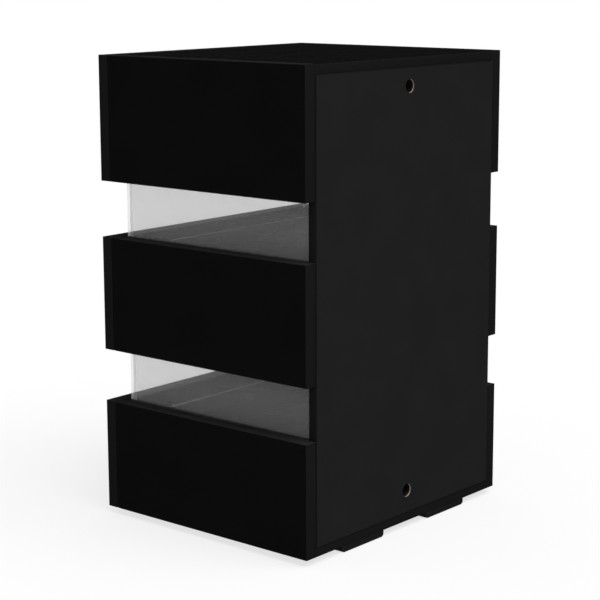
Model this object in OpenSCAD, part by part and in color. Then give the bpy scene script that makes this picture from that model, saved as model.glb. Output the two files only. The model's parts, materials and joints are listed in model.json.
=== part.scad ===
// Nightstand with three handleless drawers, stacked with two glass-walled gaps between them.
// Millimetres, +Z up. The origin is on the floor under the middle of the body.
// The drawer fronts face -Y, the back panel faces +Y, and right and left are as seen from the front.

/* [Overall size] */
// Width over the side boards
body_w = 401; // [380:1:460]
// Depth from the drawer fronts to the back panel
body_d = 347; // [340:1:420]
// Height of the feet
foot_h = 9; // [6:1:14]

/* [Units and gaps] */
// Height of the top drawer unit
top_unit_h = 162; // [140:1:200]
// Height of the middle drawer unit
middle_unit_h = 150; // [140:1:200]
// Height of the bottom drawer unit
bottom_unit_h = 146; // [140:1:200]
// Height of the upper glass gap
upper_gap_h = 73; // [40:1:120]
// Height of the lower glass gap
lower_gap_h = 69; // [40:1:120]

/* [Boards] */
// Thickness of the side boards
side_t = 18; // [16:1:20]
// Thickness of the horizontal boards
board_t = 12; // [12:1:16]
// Thickness of the drawer fronts
front_t = 16; // [14:1:18]
// Thickness of the back panel
panel_t = 12; // [10:1:14]
// How far the back panel stands out behind the boards' edges
panel_proud = 1; // [0.5:0.5:2]
// How far the top board lies below the top edges of its side boards
top_sink = 1; // [0.5:0.5:2]
// Gap between a closed drawer front and the boards behind it
front_gap = 1.5; // [1:0.5:3]

/* [Glass and light bars] */
// Thickness of the glass panes
glass_t = 5; // [4:0.5:6]
// Distance from the drawer fronts to the front pane
glass_setback = 22; // [21:1:40]
// Distance from the side boards' outer faces to the side panes
glass_inset = 24; // [22:1:32]
// Depth of the grooves that hold the glass
groove_depth = 4; // [3:0.5:5]
// Width of a light bar
light_w = 6; // [4:0.5:10]
// Height of a light bar
light_h = 5; // [4:0.5:6]
// Distance from the drawer fronts to the middle of a light bar
light_setback = 92; // [70:1:110]

/* [Cable holes] */
// Diameter of the two cable holes in the back panel
cable_hole_d = 17; // [12:0.5:20]
// Distance from the top of the body down to the upper hole
upper_hole_drop = 36; // [30:1:60]
// Distance from the underside of the body up to the lower hole
lower_hole_rise = 42; // [30:1:60]

/* [Feet] */
// Length of a foot, across the body
foot_l = 84; // [60:1:100]
// Width of a foot, front to back
foot_w = 36; // [25:1:60]
// Distance from the middle of the body to the middle of a foot
foot_offset = 88; // [60:1:110]
// Radius of the rounded lower ends of a foot
foot_r = 5; // [2:0.5:6]

/* [Drawer boxes] */
// Length of the drawer box behind its front
box_l = 300; // [260:5:300]
// Thickness of the drawer sides and back
box_t = 12; // [11:0.5:14]
// Thickness of the drawer bottom
bottom_t = 4; // [3:0.5:5]
// Space under the drawer box
box_space_below = 10; // [6:1:14]
// Space over the drawer box
box_space_above = 20; // [15:1:30]
// Height of the drawer bottom above the lower edge of the box
bottom_rise = 8; // [6:1:12]

/* [Runners] */
// Space for one runner between the drawer box and the side board
runner_space = 12.7; // [12.5:0.1:13.5]
// Height of the cabinet runner
runner_h = 27; // [24:1:30]
// Length of a runner
runner_l = 300; // [260:5:300]
// Diameter of the bearing balls
ball_d = 3; // [2.5:0.5:3]
// Length of a ball cage
cage_l = 76; // [60:1:78]

/* [Hidden] */
TOP = 0;
MIDDLE = 1;
BOTTOM = 2;
UPPER = 0;
LOWER = 1;
RIGHT = 1;
LEFT = -1;
$fn = 48;

half_w = body_w / 2;
inner_half_w = half_w - side_t;
front_y = -body_d / 2;
rear_y = body_d / 2;
front_back_y = front_y + front_t;
board_front_y = front_back_y + front_gap;
board_rear_y = rear_y - panel_proud;
panel_front_y = rear_y - panel_t;

unit_h = [top_unit_h, middle_unit_h, bottom_unit_h];
unit_z = [foot_h + bottom_unit_h + lower_gap_h + middle_unit_h + upper_gap_h,
          foot_h + bottom_unit_h + lower_gap_h,
          foot_h];
body_top = unit_z[TOP] + unit_h[TOP];
roof_sink = [top_sink, 0, 0];

// Glass: half_x is the outer face of the side panes, y is the front face of the front pane
glass_half_x = half_w - glass_inset;
glass_y = front_y + glass_setback;
glass_play = 0.2;
glass_head_play = 0.5;
light_end_space = 2;
light_half_l = glass_half_x - glass_t - light_end_space;
light_y = front_y + light_setback;
light_play = 0.1;

// Cam locks: discs in blind holes that draw the boards together
cam_d = 12;
cam_depth = 8.5;
cam_play = 0.1;
cam_from_end = 24;
cam_front_inset = 40;
cam_rear_inset = 60;
cam_slot = [8, 1.6, 1.5];

// Cutting tools reach this far past the faces they open
reach = 1;

// Drawer boxes
box_half_w = inner_half_w - runner_space;
box_rear_y = front_back_y + box_l;
bottom_groove = 6;
bottom_play = 0.2;
drawer_cam_from_front = 24;
drawer_cam_low = 26;
drawer_cam_high = 14;

// Runners: sheet steel channels with a ball cage between them
sheet_t = 1.2;
lip_l = 9;
ball_space = ball_d + 0.6;
drawer_runner_h = runner_h - 2 * (sheet_t + ball_space);
runner_from_front = 2;
runner_y = board_front_y + runner_from_front;
cage_t = 0.8;
cage_space = 0.6;
cage_web_x = box_half_w + lip_l + cage_space;
ball_pitch = 12;
ball_x = box_half_w + 0.7 * lip_l;

// Top of a unit, where its roof board ends
function roof_z(unit) = unit_z[unit] + unit_h[unit] - roof_sink[unit];

// Lower and upper edge of a drawer box
function box_z0(unit) = unit_z[unit] + board_t + box_space_below;
function box_z1(unit) = unit_z[unit] + unit_h[unit] - board_t - box_space_above;
function runner_z(unit) = (box_z0(unit) + box_z1(unit)) / 2;

// Bottom and top of a glass gap: the gap lies under unit UPPER -> TOP and LOWER -> MIDDLE
function gap_z0(gap) = unit_z[gap + 1] + unit_h[gap + 1];
function gap_z1(gap) = unit_z[gap];

// Depths of the two cam locks at each end of a board
function cam_ys() = [board_front_y + cam_front_inset, panel_front_y - cam_rear_inset];

// A block between two corners
module block(low, high) {
    translate(low) cube(high - low);
}

// A block on the right side, or its mirror image on the left side
module side_block(side, low, high) {
    if (side == RIGHT) block(low, high);
    else block([-high[0], low[1], low[2]], [-low[0], high[1], high[2]]);
}

// A cross-section in X and Z, drawn for the right side, run along Y from y0 for a length
module run_along_y(y0, length) {
    translate([0, y0 + length, 0]) rotate([90, 0, 0]) linear_extrude(height = length) children();
}

module on_side(side) {
    if (side == RIGHT) children();
    else mirror([1, 0, 0]) children();
}

// Space of the panes in one face of a board, from z0 to z1
module glass_grooves(z0, z1) {
    play = glass_play;
    block([-glass_half_x - play, glass_y - play, z0], [glass_half_x + play, glass_y + glass_t + play, z1]);
    for (side = [LEFT, RIGHT])
        side_block(side, [glass_half_x - glass_t - play, glass_y, z0],
                   [glass_half_x + play, panel_front_y + reach, z1]);
}

// Space of a light bar in the top face of a board
module light_groove(z1) {
    block([-light_half_l - light_play, light_y - light_w / 2 - light_play, z1 - light_h],
          [light_half_l + light_play, light_y + light_w / 2 + light_play, z1 + reach]);
}

// Blind holes for the cam locks of one board: their mouths at z, going up into a roof or down into a floor
module cam_holes(z, up) {
    for (side = [LEFT, RIGHT], y = cam_ys())
        translate([side * (inner_half_w - cam_from_end), y, up ? z - reach : z - cam_depth])
            cylinder(d = cam_d, h = cam_depth + reach);
}

// One cam lock with its screwdriver slot, its face at z = 0 and its body below
module cam_lock() {
    difference() {
        translate([0, 0, -cam_depth]) cylinder(d = cam_d - 2 * cam_play, h = cam_depth - cam_play);
        translate([-cam_slot[0] / 2, -cam_slot[1] / 2, -cam_slot[2]])
            cube([cam_slot[0], cam_slot[1], cam_slot[2] + reach]);
    }
}

// The board that closes a unit at the top
module unit_roof(unit) {
    z1 = roof_z(unit);
    rear = unit == TOP ? board_rear_y : panel_front_y;
    color("#1b1a1d") difference() {
        block([-inner_half_w, board_front_y, z1 - board_t], [inner_half_w, rear, z1]);
        cam_holes(z1 - board_t, true);
        if (unit != TOP) {
            glass_grooves(z1 - groove_depth, z1 + reach);
            light_groove(z1);
        }
    }
}

// The board that closes a unit at the bottom
module unit_floor(unit) {
    z0 = unit_z[unit];
    rear = unit == BOTTOM ? board_rear_y : panel_front_y;
    color("#1b1a1d") difference() {
        block([-inner_half_w, board_front_y, z0], [inner_half_w, rear, z0 + board_t]);
        cam_holes(z0 + board_t, false);
        if (unit != BOTTOM) glass_grooves(z0 - reach, z0 + groove_depth);
    }
}

module unit_side(unit, side) {
    color("#111113")
        side_block(side, [inner_half_w, board_front_y, unit_z[unit]],
                   [half_w, board_rear_y, unit_z[unit] + unit_h[unit]]);
}

// One panel over the full height, with two holes for cables
module back_panel() {
    color("#242426") difference() {
        block([-inner_half_w, panel_front_y, foot_h + board_t], [inner_half_w, rear_y, roof_z(TOP) - board_t]);
        for (z = [body_top - upper_hole_drop, foot_h + lower_hole_rise])
            translate([0, rear_y + reach, z]) rotate([90, 0, 0])
                cylinder(d = cable_hole_d, h = panel_t + 2 * reach);
    }
}

module front_glass(gap) {
    color("#aab4b8", 0.4)
        block([-glass_half_x, glass_y, gap_z0(gap) - groove_depth],
              [glass_half_x, glass_y + glass_t, gap_z1(gap) + groove_depth - glass_head_play]);
}

module side_glass(gap, side) {
    color("#aab4b8", 0.4)
        side_block(side, [glass_half_x - glass_t, glass_y + glass_t + glass_play, gap_z0(gap) - groove_depth],
                   [glass_half_x, panel_front_y - glass_play, gap_z1(gap) + groove_depth - glass_head_play]);
}

module light_bar(gap) {
    z1 = gap_z0(gap);
    color("#4a4a4c")
        block([-light_half_l, light_y - light_w / 2, z1 - light_h], [light_half_l, light_y + light_w / 2, z1]);
}

// A low pad with rounded lower ends
module foot(side, at_back) {
    y0 = at_back ? board_rear_y - foot_w : board_front_y;
    color("#0d0d0e") run_along_y(y0, foot_w) translate([side * foot_offset, 0]) intersection() {
        translate([-foot_l / 2, 0]) square([foot_l, foot_h]);
        union() {
            translate([-foot_l / 2, foot_r]) square([foot_l, foot_h]);
            translate([-foot_l / 2 + foot_r, 0]) square([foot_l - 2 * foot_r, foot_h]);
            for (end = [-1, 1]) translate([end * (foot_l / 2 - foot_r), foot_r]) circle(r = foot_r);
        }
    }
}

// The cam locks of the six horizontal boards
module cam_locks() {
    color("#b8b8ba") for (side = [LEFT, RIGHT], y = cam_ys()) {
        x = side * (inner_half_w - cam_from_end);
        for (unit = [TOP, MIDDLE, BOTTOM]) {
            translate([x, y, roof_z(unit) - board_t]) rotate([180, 0, 0]) cam_lock();
            translate([x, y, unit_z[unit] + board_t]) cam_lock();
        }
    }
}

module cabinet_runner(unit, side) {
    z = runner_z(unit);
    color("#9a9c9e") on_side(side) run_along_y(runner_y, runner_l) {
        translate([inner_half_w - sheet_t, z - runner_h / 2]) square([sheet_t, runner_h]);
        for (lip_z = [z - runner_h / 2, z + runner_h / 2 - sheet_t])
            translate([inner_half_w - lip_l, lip_z]) square([lip_l, sheet_t]);
    }
}

module drawer_runner(unit, side) {
    z = runner_z(unit);
    color("#a4a6a8") on_side(side) run_along_y(runner_y, runner_l) {
        translate([box_half_w, z - drawer_runner_h / 2]) square([sheet_t, drawer_runner_h]);
        for (lip_z = [z - drawer_runner_h / 2, z + drawer_runner_h / 2 - sheet_t])
            translate([box_half_w, lip_z]) square([lip_l, sheet_t]);
    }
}

// The left and the right ball cage of one drawer, with their balls
module ball_cages(unit) {
    cage_y = runner_y + (runner_l - cage_l) / 2;
    race_z = drawer_runner_h / 2 + ball_space / 2;
    flange_x = ball_x - ball_d;
    ball_count = floor((cage_l - ball_d) / ball_pitch);
    color("#c9cacb") for (side = [LEFT, RIGHT]) on_side(side) translate([0, 0, runner_z(unit)]) {
        run_along_y(cage_y, cage_l) {
            translate([cage_web_x, -race_z]) square([cage_t, 2 * race_z]);
            for (flange = [-race_z, race_z])
                translate([flange_x, flange - cage_t / 2]) square([cage_web_x + cage_t - flange_x, cage_t]);
        }
        for (i = [0 : ball_count - 1], flange = [-race_z, race_z])
            translate([ball_x, cage_y + cage_l / 2 + (i - (ball_count - 1) / 2) * ball_pitch, flange])
                sphere(d = ball_d, $fn = 24);
    }
}

module drawer_front(unit) {
    color("#0f0f11") difference() {
        block([-half_w, front_y, unit_z[unit]], [half_w, front_back_y, unit_z[unit] + unit_h[unit]]);
        bottom_space(unit);
    }
}

module drawer_side(unit, side) {
    color("#232325") difference() {
        side_block(side, [box_half_w - box_t, front_back_y, box_z0(unit)], [box_half_w, box_rear_y, box_z1(unit)]);
        bottom_space(unit);
        for (z = drawer_cam_zs(unit))
            translate([side * (box_half_w - box_t), front_back_y + drawer_cam_from_front, z])
                rotate([0, side * 90, 0]) translate([0, 0, -reach]) cylinder(d = cam_d, h = cam_depth + reach);
    }
}

module drawer_back(unit) {
    color("#232325") difference() {
        block([-box_half_w + box_t, box_rear_y - box_t, box_z0(unit)],
              [box_half_w - box_t, box_rear_y, box_z1(unit)]);
        bottom_space(unit);
    }
}

// Heights of the two cam locks at the front end of a drawer side
function drawer_cam_zs(unit) = [box_z0(unit) + drawer_cam_low, box_z1(unit) - drawer_cam_high];

// Groove space of the drawer bottom, which every board of the box gives up
module bottom_space(unit) {
    x = box_half_w - box_t + bottom_groove + bottom_play;
    z = box_z0(unit) + bottom_rise;
    block([-x, front_back_y - bottom_groove - bottom_play, z],
          [x, box_rear_y - box_t + bottom_groove + bottom_play, z + bottom_t + bottom_play]);
}

module drawer_bottom(unit) {
    x = box_half_w - box_t + bottom_groove;
    z = box_z0(unit) + bottom_rise;
    color("#2b2b2d")
        block([-x, front_back_y - bottom_groove, z], [x, box_rear_y - box_t + bottom_groove, z + bottom_t]);
}

// The cam locks that hold a drawer front to its two sides
module drawer_cams(unit) {
    color("#b8b8ba") for (side = [LEFT, RIGHT], z = drawer_cam_zs(unit))
        translate([side * (box_half_w - box_t), front_back_y + drawer_cam_from_front, z])
            rotate([0, -side * 90, 0]) cam_lock();
}

unit_roof(TOP);  // top_board
unit_floor(TOP);  // top_unit_floor
unit_roof(MIDDLE);  // middle_unit_roof
unit_floor(MIDDLE);  // middle_unit_floor
unit_roof(BOTTOM);  // bottom_unit_roof
unit_floor(BOTTOM);  // base_board
unit_side(TOP, LEFT);  // top_unit_left_side
unit_side(TOP, RIGHT);  // top_unit_right_side
unit_side(MIDDLE, LEFT);  // middle_unit_left_side
unit_side(MIDDLE, RIGHT);  // middle_unit_right_side
unit_side(BOTTOM, LEFT);  // bottom_unit_left_side
unit_side(BOTTOM, RIGHT);  // bottom_unit_right_side
back_panel();
front_glass(UPPER);  // upper_front_glass
side_glass(UPPER, LEFT);  // upper_left_glass
side_glass(UPPER, RIGHT);  // upper_right_glass
front_glass(LOWER);  // lower_front_glass
side_glass(LOWER, LEFT);  // lower_left_glass
side_glass(LOWER, RIGHT);  // lower_right_glass
light_bar(UPPER);  // upper_light_bar
light_bar(LOWER);  // lower_light_bar
foot(LEFT, false);  // front_left_foot
foot(RIGHT, false);  // front_right_foot
foot(LEFT, true);  // back_left_foot
foot(RIGHT, true);  // back_right_foot
cabinet_runner(TOP, LEFT);  // top_left_cabinet_runner
cabinet_runner(TOP, RIGHT);  // top_right_cabinet_runner
cabinet_runner(MIDDLE, LEFT);  // middle_left_cabinet_runner
cabinet_runner(MIDDLE, RIGHT);  // middle_right_cabinet_runner
cabinet_runner(BOTTOM, LEFT);  // bottom_left_cabinet_runner
cabinet_runner(BOTTOM, RIGHT);  // bottom_right_cabinet_runner
cam_locks();
drawer_front(TOP);  // top_drawer_front
drawer_side(TOP, LEFT);  // top_drawer_left_side
drawer_side(TOP, RIGHT);  // top_drawer_right_side
drawer_back(TOP);  // top_drawer_back
drawer_bottom(TOP);  // top_drawer_bottom
drawer_runner(TOP, LEFT);  // top_left_drawer_runner
drawer_runner(TOP, RIGHT);  // top_right_drawer_runner
drawer_cams(TOP);  // top_drawer_cams
drawer_front(MIDDLE);  // middle_drawer_front
drawer_side(MIDDLE, LEFT);  // middle_drawer_left_side
drawer_side(MIDDLE, RIGHT);  // middle_drawer_right_side
drawer_back(MIDDLE);  // middle_drawer_back
drawer_bottom(MIDDLE);  // middle_drawer_bottom
drawer_runner(MIDDLE, LEFT);  // middle_left_drawer_runner
drawer_runner(MIDDLE, RIGHT);  // middle_right_drawer_runner
drawer_cams(MIDDLE);  // middle_drawer_cams
drawer_front(BOTTOM);  // bottom_drawer_front
drawer_side(BOTTOM, LEFT);  // bottom_drawer_left_side
drawer_side(BOTTOM, RIGHT);  // bottom_drawer_right_side
drawer_back(BOTTOM);  // bottom_drawer_back
drawer_bottom(BOTTOM);  // bottom_drawer_bottom
drawer_runner(BOTTOM, LEFT);  // bottom_left_drawer_runner
drawer_runner(BOTTOM, RIGHT);  // bottom_right_drawer_runner
drawer_cams(BOTTOM);  // bottom_drawer_cams
ball_cages(TOP);  // top_ball_cages
ball_cages(MIDDLE);  // middle_ball_cages
ball_cages(BOTTOM);  // bottom_ball_cages
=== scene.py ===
"""Dresses a three-drawer nightstand with two glass-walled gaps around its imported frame."""

from __future__ import annotations

import json
import logging
import math
from collections.abc import Callable, Iterable
from dataclasses import dataclass
from enum import Enum

import bpy
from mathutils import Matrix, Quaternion, Vector


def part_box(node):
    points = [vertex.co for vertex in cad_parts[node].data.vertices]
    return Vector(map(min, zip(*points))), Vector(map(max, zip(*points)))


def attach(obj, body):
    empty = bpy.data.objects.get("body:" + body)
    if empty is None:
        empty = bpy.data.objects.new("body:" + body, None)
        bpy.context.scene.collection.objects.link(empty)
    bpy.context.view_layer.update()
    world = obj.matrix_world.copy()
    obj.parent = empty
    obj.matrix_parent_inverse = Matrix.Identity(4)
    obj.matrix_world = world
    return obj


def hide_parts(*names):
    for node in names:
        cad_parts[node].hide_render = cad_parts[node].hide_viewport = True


LOG = logging.getLogger("nightstand")
MM = 0.001
CARCASS = "carcass"
# Two places this close are the same place
NEAR = 0.01 * MM
# A face points along an axis when its normal reaches this far along it
SQUARE_ON = 0.9
# A pattern that is the same along every axis
EVEN = (1.0, 1.0, 1.0)
WHITE = (1.0, 1.0, 1.0, 1.0)
# Most values of a noise lie between these, and its colours blend between these
NOISE_RANGE = (0.35, 0.65)
BLEND_RANGE = (0.3, 0.7)
NOISE_ROUGHNESS = 0.55

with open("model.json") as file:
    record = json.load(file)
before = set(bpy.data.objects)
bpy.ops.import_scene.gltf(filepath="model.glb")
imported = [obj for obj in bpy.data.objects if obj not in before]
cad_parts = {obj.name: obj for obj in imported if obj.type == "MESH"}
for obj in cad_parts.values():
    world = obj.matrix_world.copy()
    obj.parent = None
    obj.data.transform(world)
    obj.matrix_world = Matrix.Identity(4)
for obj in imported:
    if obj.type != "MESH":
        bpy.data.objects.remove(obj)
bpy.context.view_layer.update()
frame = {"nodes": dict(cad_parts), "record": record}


class Axis(Enum):
    """The axis that a board's thickness or a rod's length runs along."""

    X = 0
    Y = 1
    Z = 2


class Side(Enum):
    """Left or right as seen from the front, with the sign of X."""

    LEFT = -1
    RIGHT = 1


# ---------------------------------------------------------------------------
# Colours and shader nodes


def linear(hex_colour: str) -> tuple[float, float, float, float]:
    """Turns an sRGB hex colour into linear RGBA.

    Args:
        hex_colour: Six hex digits, such as "1b1a1d".

    Returns:
        The linear colour with an alpha of 1.
    """
    channels = [int(hex_colour[i : i + 2], 16) / 255 for i in (0, 2, 4)]
    turned = [c / 12.92 if c <= 0.04045 else ((c + 0.055) / 1.055) ** 2.4 for c in channels]
    return (turned[0], turned[1], turned[2], 1.0)


def per_metre(size_mm: float) -> float:
    """Gives a texture scale that repeats about once every size_mm.

    Args:
        size_mm: Real size of one feature of the pattern, in millimetres.

    Returns:
        The scale for Object coordinates in metres.
    """
    return 1.0 / (size_mm * MM)


def add_node(
    tree: bpy.types.NodeTree,
    kind: str,
    settings: dict[str, object] | None = None,
    values: dict[str | int, object] | None = None,
    links: dict[str | int, bpy.types.NodeSocket] | None = None,
) -> bpy.types.Node:
    """Adds one shader node with its settings and links.

    Args:
        tree: The node tree to add to.
        kind: The node's type name.
        settings: Properties of the node itself.
        values: Constants for its input sockets.
        links: Output sockets that feed its input sockets.

    Returns:
        The new node.
    """
    node = tree.nodes.new(kind)
    for name, value in (settings or {}).items():
        setattr(node, name, value)
    for name, value in (values or {}).items():
        node.inputs[name].default_value = value
    for name, socket in (links or {}).items():
        tree.links.new(socket, node.inputs[name])
    return node


def new_material(name: str) -> tuple[bpy.types.Material, bpy.types.NodeTree, bpy.types.Node]:
    """Makes an empty node material.

    Args:
        name: The material's name.

    Returns:
        The material, its node tree and its output node.
    """
    material = bpy.data.materials.new(name)
    material.use_nodes = True
    tree = material.node_tree
    tree.nodes.clear()
    output = add_node(tree, "ShaderNodeOutputMaterial")
    return material, tree, output


def noise(
    tree: bpy.types.NodeTree,
    size_mm: float,
    detail: float = 3.0,
    stretch: tuple[float, float, float] = EVEN,
) -> bpy.types.Node:
    """Adds a noise texture on Object coordinates.

    Args:
        tree: The node tree to add to.
        size_mm: Real size of a blotch.
        detail: Octaves of finer noise.
        stretch: How much finer the pattern is along each axis.

    Returns:
        The noise node.
    """
    coords = add_node(tree, "ShaderNodeTexCoord")
    mapping = add_node(
        tree, "ShaderNodeMapping", values={"Scale": stretch}, links={"Vector": coords.outputs["Object"]}
    )
    return add_node(
        tree,
        "ShaderNodeTexNoise",
        values={"Scale": per_metre(size_mm), "Detail": detail, "Roughness": NOISE_ROUGHNESS},
        links={"Vector": mapping.outputs["Vector"]},
    )


def spread(
    tree: bpy.types.NodeTree, source: bpy.types.NodeSocket, low: float, high: float
) -> bpy.types.NodeSocket:
    """Maps the middle of a noise, where most of its values lie, onto a range.

    Args:
        tree: The node tree to add to.
        source: The noise's value.
        low: Result where the noise is low.
        high: Result where the noise is high.

    Returns:
        The mapped value.
    """
    node = add_node(
        tree,
        "ShaderNodeMapRange",
        values={
            "From Min": NOISE_RANGE[0],
            "From Max": NOISE_RANGE[1],
            "To Min": low,
            "To Max": high,
        },
        links={"Value": source},
    )
    return node.outputs["Result"]


def tinted(
    tree: bpy.types.NodeTree, factor: bpy.types.NodeSocket, dark: str, light: str
) -> bpy.types.NodeSocket:
    """Blends two hex colours by a factor.

    Args:
        tree: The node tree to add to.
        factor: Where between the colours, from 0 to 1.
        dark: Colour at 0.
        light: Colour at 1.

    Returns:
        The blended colour.
    """
    ramp = add_node(tree, "ShaderNodeValToRGB", links={"Fac": factor})
    stops = zip(ramp.color_ramp.elements, (dark, light), BLEND_RANGE, strict=True)
    for stop, hex_colour, position in stops:
        stop.color = linear(hex_colour)
        stop.position = position
    return ramp.outputs["Color"]


# ---------------------------------------------------------------------------
# Finishes


@dataclass(frozen=True)
class FacedBoard:
    """A decor foil or melamine face, pressed on a board against a polished or grained plate.

    The plate leaves a faint unevenness in the sheen, and handling leaves slightly duller patches.
    """

    name: str
    dark: str
    light: str
    roughness: tuple[float, float]
    specular: float
    grain_mm: float
    bump: float
    blotch_mm: float = 60.0
    relief: float = 0.05 * MM

    def make(self) -> bpy.types.Material:
        """Builds the material.

        Returns:
            The material.
        """
        material, tree, output = new_material(self.name)
        blotch = noise(tree, self.blotch_mm)
        grain = noise(tree, self.grain_mm, 4.0)
        colour = tinted(tree, blotch.outputs["Fac"], self.dark, self.light)
        rough = spread(tree, blotch.outputs["Fac"], *self.roughness)
        bump = add_node(
            tree,
            "ShaderNodeBump",
            values={"Strength": self.bump, "Distance": self.relief},
            links={"Height": grain.outputs["Fac"]},
        )
        shader = add_node(
            tree,
            "ShaderNodeBsdfPrincipled",
            values={"Specular IOR Level": self.specular},
            links={"Base Color": colour, "Roughness": rough, "Normal": bump.outputs["Normal"]},
        )
        tree.links.new(shader.outputs["BSDF"], output.inputs["Surface"])
        return material


@dataclass(frozen=True)
class RawBoard:
    """Cut fibreboard, unfaced: short pale fibres that scatter light."""

    name: str
    dark: str
    light: str
    fibre_mm: float = 0.8
    lie: tuple[float, float, float] = (1.0, 3.0, 1.0)
    relief: float = 0.2 * MM
    bump: float = 0.6
    roughness: float = 0.9
    specular: float = 0.2

    def make(self) -> bpy.types.Material:
        """Builds the material.

        Returns:
            The material.
        """
        material, tree, output = new_material(self.name)
        fibre = noise(tree, self.fibre_mm, 5.0, self.lie)
        colour = tinted(tree, fibre.outputs["Fac"], self.dark, self.light)
        bump = add_node(
            tree,
            "ShaderNodeBump",
            values={"Strength": self.bump, "Distance": self.relief},
            links={"Height": fibre.outputs["Fac"]},
        )
        shader = add_node(
            tree,
            "ShaderNodeBsdfPrincipled",
            values={"Roughness": self.roughness, "Specular IOR Level": self.specular},
            links={"Base Color": colour, "Normal": bump.outputs["Normal"]},
        )
        tree.links.new(shader.outputs["BSDF"], output.inputs["Surface"])
        return material


@dataclass(frozen=True)
class GlassFace:
    """One face of a pane: mostly clear, with a thin veil of light scattered to both sides of it.

    Its mirror grows from a few per cent, seen square on, to all the light at a grazing angle.
    """

    name: str
    tint: str
    veil: str
    veil_share: float
    back_share: float
    roughness: float
    mirror: float = 0.04
    grazing_power: float = 5.0
    smear_mm: float = 45.0
    smear_share: float = 0.03

    def make(self) -> bpy.types.Material:
        """Builds the material.

        Returns:
            The material.
        """
        material, tree, output = new_material(self.name)
        smear = noise(tree, self.smear_mm, 2.0)
        least, most = self.veil_share * (1 - self.smear_share), self.veil_share * (1 + self.smear_share)
        share = spread(tree, smear.outputs["Fac"], least, most)
        clear = add_node(tree, "ShaderNodeBsdfTransparent", values={"Color": linear(self.tint)})
        near = add_node(tree, "ShaderNodeBsdfDiffuse", values={"Color": linear(self.veil)})
        through = add_node(tree, "ShaderNodeBsdfTranslucent", values={"Color": linear(self.veil)})
        haze = self.mix(tree, self.back_share, near.outputs["BSDF"], through.outputs["BSDF"])
        veiled = self.mix(tree, share, clear.outputs["BSDF"], haze)
        gloss = add_node(tree, "ShaderNodeBsdfGlossy", values={"Roughness": self.roughness})
        facing = add_node(tree, "ShaderNodeLayerWeight", values={"Blend": 0.5})
        power = add_node(
            tree,
            "ShaderNodeMath",
            settings={"operation": "POWER"},
            values={1: self.grazing_power},
            links={0: facing.outputs["Facing"]},
        )
        mirror = add_node(
            tree,
            "ShaderNodeMapRange",
            values={"To Min": self.mirror, "To Max": 1.0},
            links={"Value": power.outputs["Value"]},
        )
        mixed = self.mix(tree, mirror.outputs["Result"], veiled, gloss.outputs["BSDF"])
        tree.links.new(mixed, output.inputs["Surface"])
        return material

    def mix(
        self,
        tree: bpy.types.NodeTree,
        share: float | bpy.types.NodeSocket,
        first: bpy.types.NodeSocket,
        second: bpy.types.NodeSocket,
    ) -> bpy.types.NodeSocket:
        """Mixes two shaders.

        Args:
            tree: The node tree to add to.
            share: How much of the second shader, as a number or a socket.
            first: The first shader.
            second: The second shader.

        Returns:
            The mixed shader.
        """
        fixed = isinstance(share, float)
        links = {1: first, 2: second} if fixed else {0: share, 1: first, 2: second}
        node = add_node(tree, "ShaderNodeMixShader", values={0: share} if fixed else {}, links=links)
        return node.outputs["Shader"]


@dataclass(frozen=True)
class PlainSolid:
    """A cut, moulded or plated surface with a fine even texture."""

    name: str
    dark: str
    light: str
    roughness: tuple[float, float]
    metallic: float
    specular: float
    grain_mm: float
    stretch: tuple[float, float, float]
    bump: float
    relief: float = 0.1 * MM

    def make(self) -> bpy.types.Material:
        """Builds the material.

        Returns:
            The material.
        """
        material, tree, output = new_material(self.name)
        grain = noise(tree, self.grain_mm, 4.0, self.stretch)
        colour = tinted(tree, grain.outputs["Fac"], self.dark, self.light)
        rough = spread(tree, grain.outputs["Fac"], *self.roughness)
        bump = add_node(
            tree,
            "ShaderNodeBump",
            values={"Strength": self.bump, "Distance": self.relief},
            links={"Height": grain.outputs["Fac"]},
        )
        shader = add_node(
            tree,
            "ShaderNodeBsdfPrincipled",
            values={"Metallic": self.metallic, "Specular IOR Level": self.specular},
            links={"Base Color": colour, "Roughness": rough, "Normal": bump.outputs["Normal"]},
        )
        tree.links.new(shader.outputs["BSDF"], output.inputs["Surface"])
        return material


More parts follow.
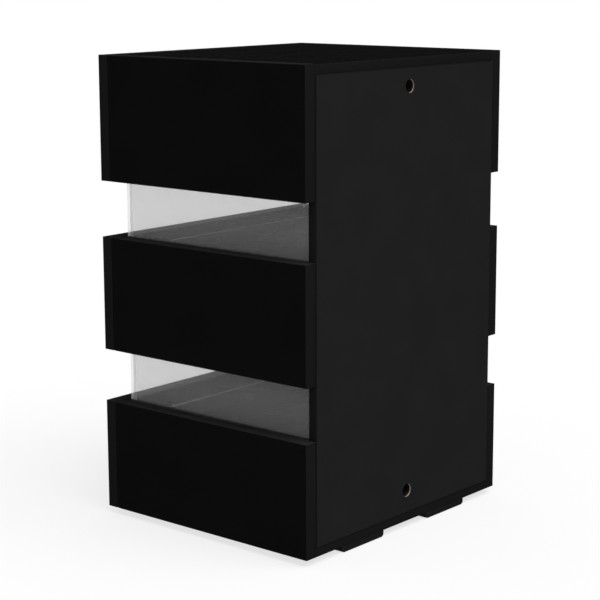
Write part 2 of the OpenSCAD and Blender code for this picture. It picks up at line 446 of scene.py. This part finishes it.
class Finish(Enum):
    """The finishes of the nightstand's parts."""

    # Black high-gloss foil on chipboard: deep black, a clean mirror-like sheen with very slight waviness
    GLOSS = FacedBoard("high_gloss_foil_faced_chipboard", "0a0a0a", "0b0b0b", (0.10, 0.16), 0.25, 9.0, 0.02)
    # Satin black melamine, pressed against a fine plate: soft broad highlights, a trace of plum
    SATIN = FacedBoard("satin_melamine_faced_chipboard", "070506", "080607", (0.26, 0.29), 0.1, 0.9, 0.06)
    # Charcoal melamine on fibreboard: matt, a touch lighter than the black boards
    CHARCOAL = FacedBoard(
        "matt_melamine_faced_fibreboard", "151515", "161616", (0.56, 0.62), 0.15, 0.7, 0.2
    )
    # ABS edge band, milled flush with a small radius: even and slightly lighter than the faces
    BAND = PlainSolid("abs_edge_band", "111111", "131313", (0.35, 0.45), 0.0, 0.05, 1.2, EVEN, 0.1)
    # The same band on edges that face up, in a lighter copy without its sheen: painted light on the upper
    # edges, as the sheen mirrored the glass too brightly
    PAINTED_LIT_BAND = PlainSolid("abs_edge_band_upper", "1b1b1b", "1d1d1d", (0.45, 0.55), 0.0, 0.004, 1.2, EVEN, 0.1)
    # Sawn fibreboard, left raw: pale brown and dull, with short fibres
    CORE = RawBoard("raw_fibreboard_core", "746d64", "857d72")
    # Milled fibreboard core painted near black: painted shade deep in the cable holes and in the grooves
    # beside the glass, where almost no light comes back
    PAINTED_SHADE_CORE = RawBoard("stained_fibreboard_core", "0b0a09", "12100e")
    # Thin hardboard painted dark grey on its show face: matt, with a slight pressed texture
    HARDBOARD = FacedBoard("painted_hardboard", "1c1c1d", "202021", (0.55, 0.7), 0.25, 1.5, 0.5)
    # Float glass with a light smoke tint: clear, with a thin even veil and a sharp mirror at low angles
    PANE = GlassFace("lightly_smoked_float_glass", "fbfbfb", "f2f2f2", 0.108, 0.5, 0.03)
    # The same glass where its edges are ground: whitish, frosted, and brighter than the faces
    GROUND = GlassFace("ground_glass_edge", "ffffff", "f6f8f7", 0.28, 0.0, 0.35)
    # Extruded frosted polycarbonate: a soft light grey line, even all along
    DIFFUSER = PlainSolid(
        "frosted_polycarbonate", "b0b0b0", "b6b6b6", (0.45, 0.55), 0.0, 0.4, 2.0, EVEN, 0.1
    )
    # Extruded aluminium, anodised black: dark, with fine lines drawn along the bar
    CHANNEL = PlainSolid(
        "black_anodised_aluminium", "1c1c1d", "222223", (0.3, 0.4), 0.6, 0.5, 0.6, (0.1, 6.0, 6.0), 0.2
    )
    # Moulded polypropylene: matt black with the mould's fine spark texture
    MOULDED = PlainSolid("moulded_polypropylene", "0c0c0c", "101010", (0.5, 0.62), 0.0, 0.3, 0.8, EVEN, 0.4)
    # Cold-rolled steel, zinc plated: bright grey, slightly drawn out along the runner
    ZINC = PlainSolid(
        "zinc_plated_sheet_steel", "9a9da0", "b2b5b8", (0.28, 0.42), 1.0, 0.5, 3.0, (1.0, 0.15, 1.0), 0.15
    )
    # Hardened and polished steel: the brightest metal on the piece, with tight highlights
    BEARING = PlainSolid(
        "bright_bearing_steel", "b4b6b8", "c6c8ca", (0.18, 0.26), 1.0, 0.5, 2.0, EVEN, 0.05
    )
    # Zinc die casting, as cast: grey and grainy, with broad highlights
    DIE_CAST = PlainSolid("die_cast_zinc", "8a8b8d", "a0a1a3", (0.4, 0.55), 1.0, 0.5, 1.0, EVEN, 0.4)


_made: dict[Finish, bpy.types.Material] = {}


def material_of(finish: Finish) -> bpy.types.Material:
    """Gives a finish's material, made on first use.

    Args:
        finish: The finish.

    Returns:
        The material.
    """
    if finish not in _made:
        _made[finish] = finish.value.make()
    return _made[finish]


# ---------------------------------------------------------------------------
# Modelling by operators


def slot_of(obj: bpy.types.Object, finish: Finish) -> int:
    """Gives the index of a finish among a piece's materials, adding it where it is missing.

    Args:
        obj: The piece.
        finish: The finish.

    Returns:
        The material index.
    """
    material = material_of(finish)
    if material.name not in obj.data.materials:
        obj.data.materials.append(material)
    return obj.data.materials.find(material.name)


def deselect() -> None:
    """Leaves nothing selected."""
    bpy.ops.object.select_all(action="DESELECT")


def make_active(obj: bpy.types.Object) -> None:
    """Selects one object alone and makes it active.

    Args:
        obj: The object.
    """
    deselect()
    obj.select_set(True)
    bpy.context.view_layer.objects.active = obj


def settle(obj: bpy.types.Object) -> None:
    """Puts an object's place, turn and scale into its mesh."""
    make_active(obj)
    bpy.ops.object.transform_apply(location=True, rotation=True, scale=True)


def add_block(name: str, low: Vector, high: Vector, finishes: Iterable[Finish]) -> bpy.types.Object:
    """Adds a block between two corners.

    Args:
        name: The piece's name.
        low: Lowest corner.
        high: Highest corner.
        finishes: Finishes for its material slots.

    Returns:
        The block, at the origin with its place in its mesh.
    """
    deselect()
    bpy.ops.mesh.primitive_cube_add(size=1.0, location=(low + high) / 2, scale=high - low)
    block = bpy.context.active_object
    block.name = name
    block.data.name = name
    for finish in finishes:
        slot_of(block, finish)
    settle(block)
    return block


def add_rod(
    name: str, axis: Axis, radius: float, centre: Vector, length: float, finish: Finish, sides: int
) -> bpy.types.Object:
    """Adds a round rod.

    Args:
        name: The piece's name.
        axis: The axis it runs along.
        radius: Its radius.
        centre: Its middle.
        length: Its length.
        finish: Its finish.
        sides: Number of flats round it.

    Returns:
        The rod, at the origin with its place in its mesh.
    """
    quarter = math.pi / 2
    turn = {Axis.X: (0.0, quarter, 0.0), Axis.Y: (quarter, 0.0, 0.0), Axis.Z: (0.0, 0.0, 0.0)}[axis]
    deselect()
    bpy.ops.mesh.primitive_cylinder_add(
        vertices=sides, radius=radius, depth=length, location=centre, rotation=turn
    )
    rod = bpy.context.active_object
    rod.name = name
    rod.data.name = name
    slot_of(rod, finish)
    settle(rod)
    return rod


def copied(obj: bpy.types.Object, name: str, shift: Vector) -> bpy.types.Object:
    """Copies a piece with a mesh of its own.

    Args:
        obj: The piece to copy.
        name: The copy's name.
        shift: How far the copy stands from the piece.

    Returns:
        The copy, at the origin with its place in its mesh.
    """
    twin = obj.copy()
    twin.data = obj.data.copy()
    twin.name = name
    twin.data.name = name
    bpy.context.scene.collection.objects.link(twin)
    twin.location = shift
    settle(twin)
    return twin


def cut(obj: bpy.types.Object, cutters: Iterable[bpy.types.Object]) -> None:
    """Takes each cutter out of a piece and removes the cutter.

    Args:
        obj: The piece.
        cutters: Closed solids, whose materials line the cuts.
    """
    for cutter in cutters:
        make_active(obj)
        modifier = obj.modifiers.new("cut", "BOOLEAN")
        modifier.operation = "DIFFERENCE"
        modifier.solver = "EXACT"
        modifier.material_mode = "TRANSFER"
        modifier.object = cutter
        bpy.ops.object.modifier_apply(modifier=modifier.name)
        bpy.data.objects.remove(cutter)


def select_faces(obj: bpy.types.Object, wanted: Callable[[bpy.types.MeshPolygon], bool]) -> int:
    """Selects the faces that a test picks, and nothing else.

    Args:
        obj: The piece.
        wanted: Test on a face's normal, centre or material.

    Returns:
        How many faces were picked.
    """
    mesh = obj.data
    for part in (mesh.vertices, mesh.edges, mesh.polygons):
        part.foreach_set("select", [False] * len(part))
    picked = [face for face in mesh.polygons if wanted(face)]
    for face in picked:
        face.select = True
        for vertex in face.vertices:
            mesh.vertices[vertex].select = True
    bpy.context.tool_settings.mesh_select_mode = (False, False, True)
    return len(picked)


def select_edges(obj: bpy.types.Object, wanted: Callable[[Vector, Vector], bool]) -> int:
    """Selects the edges that a test on their two ends picks, and nothing else.

    Args:
        obj: The piece.
        wanted: Test on an edge's two end points.

    Returns:
        How many edges were picked.
    """
    mesh = obj.data
    for part in (mesh.vertices, mesh.edges, mesh.polygons):
        part.foreach_set("select", [False] * len(part))
    count = 0
    for edge in mesh.edges:
        a, b = (mesh.vertices[i] for i in edge.vertices)
        if wanted(a.co, b.co):
            edge.select = a.select = b.select = True
            count += 1
    bpy.context.tool_settings.mesh_select_mode = (False, True, False)
    return count


def in_edit_mode(obj: bpy.types.Object, operate: Callable[[], object]) -> None:
    """Runs an operator on what is selected in a piece's mesh.

    Args:
        obj: The piece.
        operate: Calls the operator.
    """
    make_active(obj)
    bpy.ops.object.mode_set(mode="EDIT")
    operate()
    bpy.ops.object.mode_set(mode="OBJECT")


def bevel_selected(obj: bpy.types.Object, width: float, segments: int) -> None:
    """Rounds the selected edges of a piece.

    Args:
        obj: The piece.
        width: Size of the rounding.
        segments: Facets across it.
    """
    in_edit_mode(
        obj,
        lambda: bpy.ops.mesh.bevel(
            offset=width, offset_type="OFFSET", segments=segments, affect="EDGES", profile=0.5
        ),
    )


def inset_selected(obj: bpy.types.Object, width: float, depth: float = 0.0) -> None:
    """Insets the selected faces of a piece, each by itself.

    Args:
        obj: The piece.
        width: Width of the rim that is left.
        depth: How far the inset face moves out, or in where it is negative.
    """
    in_edit_mode(
        obj,
        lambda: bpy.ops.mesh.inset(
            thickness=width, depth=depth, use_individual=True, use_even_offset=True
        ),
    )


def at_corner(point: Vector, low: Vector, high: Vector) -> bool:
    """Says whether a point is one of a box's eight corners."""
    return all(min(abs(point[i] - low[i]), abs(point[i] - high[i])) < NEAR for i in range(3))


def at_box_edge(a: Vector, b: Vector, low: Vector, high: Vector) -> bool:
    """Says whether two points are both corners of a box."""
    return at_corner(a, low, high) and at_corner(b, low, high)


def touches_corner(piece: bpy.types.Object, face: bpy.types.MeshPolygon, low: Vector, high: Vector) -> bool:
    """Says whether a face of a piece has one of a box's eight corners."""
    return any(at_corner(piece.data.vertices[i].co, low, high) for i in face.vertices)


def thin_axis(low: Vector, high: Vector) -> int:
    """Gives the axis along which a box is thinnest."""
    return min(range(3), key=lambda i: high[i] - low[i])


def smooth(obj: bpy.types.Object, degrees: float = 40.0) -> None:
    """Shades a piece smooth across edges flatter than an angle."""
    make_active(obj)
    bpy.ops.object.shade_smooth_by_angle(angle=math.radians(degrees))


def place(obj: bpy.types.Object, body: str, slot: str, *nodes: str) -> None:
    """Declares a finished piece to the frame and logs it.

    Args:
        obj: The piece.
        body: CAD body that it moves with.
        slot: The record's material slot; not used.
        nodes: CAD nodes that it stands for.
    """
    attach(obj, body)
    if nodes:
        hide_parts(*nodes)
    LOG.info("%s on %s: %d faces", obj.name, body, len(obj.data.polygons))


# ---------------------------------------------------------------------------
# Boards


@dataclass
class Board:
    """A faced board with banded edges, made over one CAD node.

    The band shows as a narrow strip around each face, and every arris has a small radius.
    """

    node: str
    body: str
    slot: str
    face: Finish
    back_face: Finish
    band: Finish = Finish.BAND
    painted_lit_band: Finish = Finish.PAINTED_LIT_BAND
    band_t: float = 1.0 * MM
    arris: float = 0.5 * MM
    arris_segments: int = 3

    def __post_init__(self) -> None:
        """Reads the board's box from the frame."""
        self.low, self.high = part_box(self.node)
        self.axis = thin_axis(self.low, self.high)

    def build(self, cutters: Iterable[bpy.types.Object] = ()) -> bpy.types.Object:
        """Models the board.

        Args:
            cutters: Grooves and holes to take out of it.

        Returns:
            The finished piece.
        """
        finishes = (self.face, self.back_face, self.band, self.painted_lit_band)
        piece = add_block(f"{self.node}_banded", self.low, self.high, finishes)
        axis = self.axis
        select_faces(piece, lambda face: abs(face.normal[axis]) > SQUARE_ON)
        inset_selected(piece, self.band_t)
        for face in piece.data.polygons:
            broad = self.face if self.shows_face(face.normal[axis]) else self.back_face
            # Edges that face up take the lighter copy of the band: painted light
            edge = self.painted_lit_band if face.normal.z > SQUARE_ON else self.band
            outer = touches_corner(piece, face, self.low, self.high)
            face.material_index = slot_of(piece, edge if outer else broad)
        select_edges(piece, lambda a, b: at_box_edge(a, b, self.low, self.high))
        bevel_selected(piece, self.arris, self.arris_segments)
        cut(piece, cutters)
        smooth(piece)
        place(piece, self.body, self.slot, self.node)
        return piece

    def shows_face(self, direction: float) -> bool:
        """Says whether a broad face is the show face, which on upright boards points out of the cabinet.

        Args:
            direction: The face's normal along the thin axis.

        Returns:
            Whether it is the show face.
        """
        middle = (self.low[self.axis] + self.high[self.axis]) / 2
        if self.axis == Axis.X.value:
            return direction * middle > 0
        if self.axis == Axis.Y.value:
            return (direction < 0) == (middle < 0)
        return direction > 0


def groove(low: Vector, high: Vector) -> bpy.types.Object:
    """Makes a cutter for a milled groove, lined with the near-black core of painted shade so that no raw
    board shows beside the glass.
    """
    return add_block("cutter", low, high, (Finish.PAINTED_SHADE_CORE,))


@dataclass
class Gap:
    """One glass-walled gap: its panes, its light bar and the grooves they stand in."""

    name: str
    play: float = 0.1 * MM
    headroom: float = 0.5 * MM
    reach: float = 1.0 * MM
    edge_t: float = 0.6 * MM
    arris: float = 0.4 * MM
    lip: float = 0.5 * MM
    cover_rise: float = 0.3 * MM

    def panes(self) -> list[str]:
        """Lists the gap's three glass nodes."""
        return [f"{self.name}_{wall}_glass" for wall in ("front", "left", "right")]

    def grooves(self, board: str) -> list[bpy.types.Object]:
        """Makes the cutters for this gap's panes and light bar in one board.

        Args:
            board: The CAD node of the board.

        Returns:
            The cutters.
        """
        low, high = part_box(board)
        cutters = []
        grow = Vector((self.play, self.play, 0))
        for node in self.panes():
            pane_low, pane_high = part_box(node)
            start, end = pane_low - grow, pane_high + grow
            if pane_high.z > high.z:
                end.z = high.z + self.reach
            else:
                start.z = low.z - self.reach
                end.z = pane_high.z + self.headroom
            if "front" not in node:
                start.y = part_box(self.panes()[0])[0].y
                end.y = high.y + self.reach
            cutters.append(groove(start, end))
        bar_low, bar_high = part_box(f"{self.name}_light_bar")
        if high.z > bar_low.z > low.z:
            cutters.append(groove(bar_low - grow, bar_high + grow + Vector((0, 0, self.reach))))
        return cutters

    def build(self) -> None:
        """Models the panes and the light bar."""
        for node in self.panes():
            self.build_pane(node)
        self.build_light_bar()

    def build_pane(self, node: str) -> None:
        """Models one pane: polished faces, ground edges and seamed arrises.

        Args:
            node: The pane's CAD node.
        """
        low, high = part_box(node)
        piece = add_block(f"{node}_pane", low, high, (Finish.PANE, Finish.GROUND))
        axis = thin_axis(low, high)
        select_faces(piece, lambda face: abs(face.normal[axis]) > SQUARE_ON)
        inset_selected(piece, self.edge_t)
        for face in piece.data.polygons:
            finish = Finish.GROUND if touches_corner(piece, face, low, high) else Finish.PANE
            face.material_index = slot_of(piece, finish)
        select_edges(piece, lambda a, b: at_box_edge(a, b, low, high))
        bevel_selected(piece, self.arris, 1)
        place(piece, CARCASS, "glass_pane", node)

    def build_light_bar(self) -> None:
        """Models the light bar: a channel whose lips lie just below the frosted cover between them."""
        node = f"{self.name}_light_bar"
        low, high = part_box(node)
        lips = Vector((high.x, high.y, high.z - self.cover_rise))
        piece = add_block(f"{node}_profile", low, lips, (Finish.CHANNEL, Finish.DIFFUSER))
        select_faces(piece, lambda face: face.normal.z > SQUARE_ON)
        inset_selected(piece, self.lip)
        select_faces(
            piece, lambda face: face.normal.z > SQUARE_ON and not touches_corner(piece, face, low, lips)
        )
        inset_selected(piece, self.cover_rise, self.cover_rise)
        for face in piece.data.polygons:
            if face.center.z > lips.z + NEAR:
                face.material_index = slot_of(piece, Finish.DIFFUSER)
        place(piece, CARCASS, "light_diffuser", node)


@dataclass
class Carcass:
    """The fixed cabinet: horizontal boards, side boards, back panel, feet and cabinet runners."""

    units: tuple[str, ...] = ("top", "middle", "bottom")
    body: str = CARCASS
    cam_play: float = 0.1 * MM
    cam_flats: int = 32
    hole_flats: int = 64
    hole_chamfer: float = 0.3 * MM
    hole_step: float = 0.05 * MM
    raw_mouth: float = 1.8 * MM
    through: float = 30.0 * MM
    foot_r: float = 5.0 * MM
    foot_r_facets: int = 10
    foot_fillet: float = 2.5 * MM
    foot_fillet_facets: int = 5

    def cam_holes(self, board: str) -> list[bpy.types.Object]:
        """Makes cutters for the cam locks that lie in a board.

        Args:
            board: The CAD node of the board.

        Returns:
            The cutters.
        """
        return [
            add_rod("cutter", Axis.Z, radius + self.cam_play, middle, length, Finish.CORE, self.cam_flats)
            for middle, radius, length in cam_spots(*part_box(board))
        ]

    def build_horizontals(self, gaps: dict[str, Gap]) -> None:
        """Models the six horizontal boards with their grooves and cam holes.

        Args:
            gaps: The glass gaps, by name.
        """
        boards = {
            "top_board": (),
            "top_unit_floor": ("upper",),
            "middle_unit_roof": ("upper",),
            "middle_unit_floor": ("lower",),
            "bottom_unit_roof": ("lower",),
            "base_board": (),
        }
        for node, gap_names in boards.items():
            cutters = [cutter for name in gap_names for cutter in gaps[name].grooves(node)]
            cutters += self.cam_holes(node)
            Board(node, self.body, "carcass_board", Finish.SATIN, Finish.SATIN).build(cutters)

    def build_sides(self) -> None:
        """Models the six side boards."""
        for unit in self.units:
            for side in Side:
                node = f"{unit}_unit_{side.name.lower()}_side"
                Board(node, self.body, "gloss_board", Finish.GLOSS, Finish.SATIN).build()

    def build_back(self) -> None:
        """Models the back panel with its two cable holes, raw at the mouth and painted near black farther
        in as painted shade.
        """
        low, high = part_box("back_panel")
        middle_y = (low.y + high.y) / 2
        rods = []
        mouths = []
        for mount in frame["record"]["mounts"]:
            if mount["kind"] != "bore":
                continue
            centre = Vector(mount["pos_m"])
            radius = mount["dims"]["r_mm"] * MM
            mouths.append((centre, radius))
            mouth = Vector((centre.x, high.y, centre.z))
            depth = 2 * self.raw_mouth
            rods.append(add_rod("cutter", Axis.Y, radius, mouth, depth, Finish.CORE, self.hole_flats))
            inside = Vector((centre.x, middle_y, centre.z))
            narrow = radius - self.hole_step
            # The bore beyond the raw mouth is lined near black: painted shade
            shaded = Finish.PAINTED_SHADE_CORE
            rods.append(add_rod("cutter", Axis.Y, narrow, inside, self.through, shaded, self.hole_flats))
        board = Board("back_panel", self.body, "back_board", Finish.CHARCOAL, Finish.CHARCOAL)
        piece = board.build(rods)
        for centre, radius in mouths:
            select_edges(piece, lambda a, b: all(self.on_rim(p, centre, radius, board) for p in (a, b)))
            bevel_selected(piece, self.hole_chamfer, 2)
        smooth(piece)

    def on_rim(self, point: Vector, centre: Vector, radius: float, board: Board) -> bool:
        """Says whether a point lies on the rim of a cable hole.

        Args:
            point: The point.
            centre: The middle of the hole.
            radius: The hole's radius.
            board: The back panel.

        Returns:
            Whether it lies on the rim, on either face of the panel.
        """
        off = math.hypot(point.x - centre.x, point.z - centre.z)
        on_face = min(abs(point.y - board.low.y), abs(point.y - board.high.y)) < NEAR
        return abs(off - radius) < self.hole_step and on_face

    def build_feet(self) -> None:
        """Models one foot as a moulded pad with rounded ends and copies it to the four places."""
        nodes = [f"{end}_{side.name.lower()}_foot" for end in ("front", "back") for side in Side]
        low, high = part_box(nodes[0])
        first = add_block(f"{nodes[0]}_pad", low, high, (Finish.MOULDED,))
        select_edges(first, lambda a, b: max(a.z, b.z) < low.z + NEAR and abs(a.x - b.x) < NEAR)
        bevel_selected(first, self.foot_r, self.foot_r_facets)
        select_edges(first, lambda a, b: abs(a.y - b.y) < NEAR and min(a.z, b.z) < high.z - NEAR)
        bevel_selected(first, self.foot_fillet, self.foot_fillet_facets)
        smooth(first)
        pads = [first]
        pads += [copied(first, f"{node}_pad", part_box(node)[0] - low) for node in nodes[1:]]
        for pad, node in zip(pads, nodes, strict=True):
            place(pad, self.body, "foot_plastic", node)

    def dress_hardware(self) -> None:
        """Gives the cabinet runners and cam locks their metal."""
        for unit in self.units:
            for side in Side:
                dress_node(f"{unit}_{side.name.lower()}_cabinet_runner", Finish.ZINC)
        dress_node("cam_locks", Finish.DIE_CAST)


# Points of one cam lock lie this close together, across it and along it
CAM_WIDTH = 16 * MM
CAM_DEPTH = 10 * MM
# How much longer a cam lock's hole is than the lock
CAM_HOLE_EXTRA = 0.3 * MM


def cam_spots(low: Vector, high: Vector) -> list[tuple[Vector, float, float]]:
    """Finds the cam locks whose middle lies inside a box, from the CAD node's loose parts.

    Args:
        low: Lowest corner of the box.
        high: Highest corner of the box.

    Returns:
        For each, its middle, its radius and the length of its hole.
    """
    mesh = frame["nodes"]["cam_locks"].data
    points = sorted((v.co.copy() for v in mesh.vertices), key=lambda p: (round(p.z, 3), p.x, p.y))
    groups: list[list[Vector]] = []
    for point in points:
        for group in groups:
            if (group[0] - point).length < CAM_WIDTH and abs(group[0].z - point.z) < CAM_DEPTH:
                group.append(point)
                break
        else:
            groups.append([point])
    spots = []
    for group in groups:
        first = Vector(min(p[i] for p in group) for i in range(3))
        last = Vector(max(p[i] for p in group) for i in range(3))
        middle = (first + last) / 2
        if all(low[i] < middle[i] < high[i] for i in range(3)):
            spots.append((middle, (last.x - first.x) / 2, last.z - first.z + CAM_HOLE_EXTRA))
    return spots


def dress_node(node: str, finish: Finish) -> None:
    """Gives a carried-over CAD node its material.

    Args:
        node: The CAD node.
        finish: Its finish.
    """
    obj = frame["nodes"][node]
    obj.data.materials.clear()
    obj.data.materials.append(material_of(finish))
    LOG.info("%s dressed as %s", node, finish.name.lower())


@dataclass
class Drawer:
    """One drawer: its front, box, runners and cam locks."""

    unit: str
    bottom_arris: float = 0.2 * MM

    @property
    def body(self) -> str:
        """The CAD body that the drawer is."""
        return f"{self.unit}_drawer"

    def build(self) -> None:
        """Models the drawer's boards and dresses its metal parts."""
        name = f"{self.unit}_drawer"
        Board(f"{name}_front", self.body, "gloss_board", Finish.GLOSS, Finish.SATIN).build()
        for part in ("left_side", "right_side", "back"):
            Board(f"{name}_{part}", self.body, "drawer_board", Finish.CHARCOAL, Finish.CHARCOAL).build()
        Board(
            f"{name}_bottom",
            self.body,
            "drawer_bottom_board",
            Finish.HARDBOARD,
            Finish.CORE,
            band=Finish.CORE,
            arris=self.bottom_arris,
        ).build()
        for side in Side:
            dress_node(f"{self.unit}_{side.name.lower()}_drawer_runner", Finish.ZINC)
        dress_node(f"{self.unit}_drawer_cams", Finish.DIE_CAST)
        dress_node(f"{self.unit}_ball_cages", Finish.BEARING)


# ---------------------------------------------------------------------------
# Camera, floor and light


@dataclass
class Studio:
    """A pale floor under soft light from all round, and the camera."""

    azimuth: float = 130.3
    elevation: float = 10.53
    roll: float = -0.2
    distance: float = 2.319
    aim: tuple[float, float, float] = (0.0032, -0.004, 0.305)
    lens: float = 104.4
    sensor: float = 36.0
    lens_shift: float = -0.03
    floor_size: float = 120.0
    floor_white: float = 0.15
    floor_glow: float = 0.72
    sky: float = 1.0
    mirrored_low: float = 0.002
    mirrored_high: float = 0.25
    flag_top: float = 0.22
    screen: float = 0.5
    screen_edge: tuple[float, float] = (-0.2, 0.45)
    screen_drop: float = -0.2
    key_rise: float = 62.0
    key_spread: float = 50.0
    key_strength: float = 3.3

    def place_camera(self) -> None:
        """Makes the camera."""
        turn, rise = math.radians(self.azimuth), math.radians(self.elevation)
        level = Vector((math.sin(turn), -math.cos(turn), 0))
        back = level * math.cos(rise) + Vector((0, 0, math.sin(rise)))
        data = bpy.data.cameras.new("camera")
        data.lens = self.lens
        data.sensor_width = self.sensor
        data.shift_y = self.lens_shift
        camera = bpy.data.objects.new("camera", data)
        camera.location = Vector(self.aim) + back * self.distance
        camera.rotation_mode = "QUATERNION"
        tilt = Quaternion((0, 0, 1), math.radians(self.roll))
        camera.rotation_quaternion = (-back).to_track_quat("-Z", "Y") @ tilt
        bpy.context.scene.collection.objects.link(camera)
        bpy.context.scene.camera = camera

    def lay_floor(self) -> None:
        """Lays the floor."""
        deselect()
        bpy.ops.mesh.primitive_plane_add(size=self.floor_size, location=(0, 0, 0))
        floor = bpy.context.active_object
        floor.name = "studio_floor"
        material, tree, output = new_material("lit_matt_white_acrylic")
        white = (self.floor_white, self.floor_white, self.floor_white, 1.0)
        matt = add_node(tree, "ShaderNodeBsdfDiffuse", values={"Color": white})
        glow = add_node(tree, "ShaderNodeEmission", values={"Strength": self.floor_glow})
        both = add_node(
            tree, "ShaderNodeAddShader", links={0: matt.outputs["BSDF"], 1: glow.outputs["Emission"]}
        )
        tree.links.new(both.outputs["Shader"], output.inputs["Surface"])
        floor.data.materials.append(material)
        floor.visible_glossy = False

    def light(self) -> None:
        """Sets the surrounding light: white all round, but gloss mirrors dark flags and two dim screens.

        The flags keep the black faces black from two opposite corners, and the screens show their polish
        from the other two.
        """
        world = bpy.data.worlds.new("studio")
        bpy.context.scene.world = world
        world.use_nodes = True
        tree = world.node_tree
        tree.nodes.clear()
        output = add_node(tree, "ShaderNodeOutputWorld")
        path = add_node(tree, "ShaderNodeLightPath")
        soft = add_node(tree, "ShaderNodeBackground", values={"Color": WHITE, "Strength": self.sky})
        mirrored = add_node(
            tree,
            "ShaderNodeBackground",
            values={"Color": WHITE},
            links={"Strength": self.mirrored_strength(tree)},
        )
        mixed = add_node(
            tree,
            "ShaderNodeMixShader",
            links={
                0: path.outputs["Is Glossy Ray"],
                1: soft.outputs["Background"],
                2: mirrored.outputs["Background"],
            },
        )
        tree.links.new(mixed.outputs["Shader"], output.inputs["Surface"])

    def mirrored_strength(self, tree: bpy.types.NodeTree) -> bpy.types.NodeSocket:
        """Works out how bright the surroundings are in each direction, as gloss mirrors them.

        Args:
            tree: The world's node tree.

        Returns:
            The strength.
        """
        coords = add_node(tree, "ShaderNodeTexCoord")
        way = add_node(tree, "ShaderNodeSeparateXYZ", links={"Vector": coords.outputs["Generated"]})
        corner = add_node(
            tree,
            "ShaderNodeMath",
            settings={"operation": "MULTIPLY"},
            links={0: way.outputs["X"], 1: way.outputs["Y"]},
        )
        mirrored = (self.mirrored_low, self.mirrored_high)
        above = self.ramp(tree, way.outputs["Z"], (self.flag_top, 1.0), mirrored)
        screen = self.ramp(tree, corner.outputs["Value"], self.screen_edge, (0.0, self.screen))
        below = self.ramp(tree, way.outputs["Z"], (0.0, self.screen_drop), (0.0, 1.0))
        strength = add_node(
            tree,
            "ShaderNodeMath",
            settings={"operation": "MULTIPLY_ADD"},
            links={0: screen, 1: below, 2: above},
        )
        return strength.outputs["Value"]

    def ramp(
        self,
        tree: bpy.types.NodeTree,
        source: bpy.types.NodeSocket,
        start_end: tuple[float, float],
        results: tuple[float, float],
    ) -> bpy.types.NodeSocket:
        """Maps a value onto a range with a soft start and end.

        Args:
            tree: The node tree to add to.
            source: The value.
            start_end: Where the ramp starts and ends.
            results: Result at the start and at the end.

        Returns:
            The mapped value.
        """
        node = add_node(
            tree,
            "ShaderNodeMapRange",
            settings={"interpolation_type": "SMOOTHSTEP"},
            values={
                "From Min": start_end[0],
                "From Max": start_end[1],
                "To Min": results[0],
                "To Max": results[1],
            },
            links={"Value": source},
        )
        return node.outputs["Result"]

    def hang_key(self) -> None:
        """Hangs a broad soft light over the back, which lifts the tops and the back a little."""
        data = bpy.data.lights.new("key", "SUN")
        data.angle = math.radians(self.key_spread)
        data.energy = self.key_strength
        rise = math.radians(self.key_rise)
        towards = Vector((0, math.cos(rise), math.sin(rise)))
        key = bpy.data.objects.new("key", data)
        key.location = towards
        key.rotation_mode = "QUATERNION"
        key.rotation_quaternion = towards.to_track_quat("Z", "Y")
        bpy.context.scene.collection.objects.link(key)

    def set_up(self) -> None:
        """Makes the camera, the floor and the lights."""
        self.place_camera()
        self.lay_floor()
        self.light()
        self.hang_key()
        bpy.context.scene.view_settings.view_transform = "Standard"


def main() -> None:
    """Builds the nightstand around the frame."""
    logging.basicConfig(level=logging.INFO, format="%(name)s: %(message)s")
    Studio().set_up()
    gaps = {name: Gap(name) for name in ("upper", "lower")}
    carcass = Carcass()
    carcass.build_horizontals(gaps)
    carcass.build_sides()
    carcass.build_back()
    carcass.build_feet()
    carcass.dress_hardware()
    for gap in gaps.values():
        gap.build()
    for unit in carcass.units:
        Drawer(unit).build()


if __name__ == "__main__":
    main()
